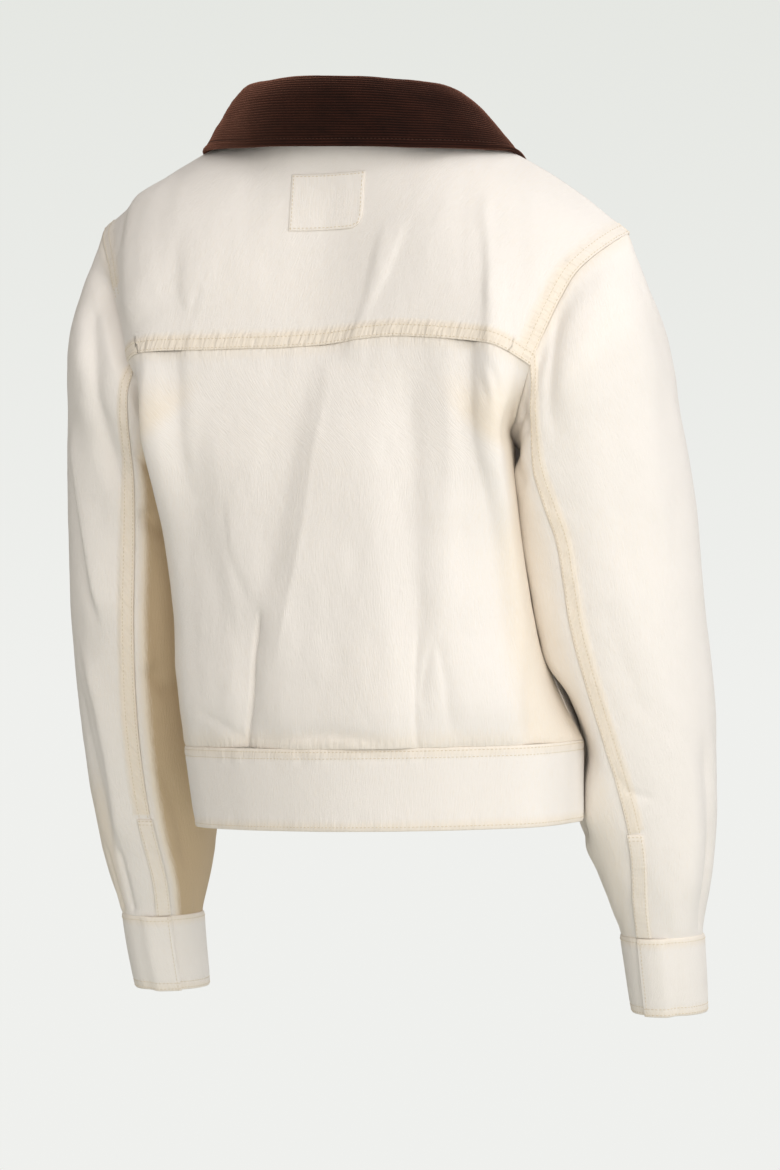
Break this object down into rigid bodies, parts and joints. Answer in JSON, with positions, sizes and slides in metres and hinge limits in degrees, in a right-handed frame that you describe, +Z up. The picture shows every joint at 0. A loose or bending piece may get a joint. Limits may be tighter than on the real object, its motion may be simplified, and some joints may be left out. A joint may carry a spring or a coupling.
{
  "type": "utility jacket",
  "caption": "Worn cropped utility jacket in cream cotton twill: bloused body on a hem band, two-piece sleeves with plain cuffs, button front, brown corduroy fold-over collar.",
  "frame": {"origin": "middle of the neck opening, level with the neck points of the shoulder seams, where the wearer's shoulders and neck hold the jacket up", "axes": "+Z up, the jacket's front faces -Y and its back +Y, the wearer's left is +X and the wearer's right is -X"},
  "size_m": [0.546, 0.261, 0.7444],
  "materials": {
    "cream_twill": "matt washed cotton twill",
    "brown_corduroy": "soft fine-wale corduroy, wales along the collar",
    "button": "satin"
  },
  "bodies": {
    "root": {"back_panel": "cream_twill", "back_yoke": "cream_twill", "front_left": "cream_twill", "front_right": "cream_twill", "hem_band": "cream_twill", "sleeve_top_left": "cream_twill", "sleeve_top_right": "cream_twill", "sleeve_under_left": "cream_twill", "sleeve_under_right": "cream_twill", "cuff_left": "cream_twill", "cuff_right": "cream_twill", "front_placket": "cream_twill", "sleeve_placket_left": "cream_twill", "sleeve_placket_right": "cream_twill", "neck_patch": "cream_twill", "collar_upper": "brown_corduroy", "collar_under": "brown_corduroy", "button_1": "button", "button_2": "button", "button_3": "button", "button_4": "button", "button_5": "button", "band_button": "button"}
  },
  "joints": []
}
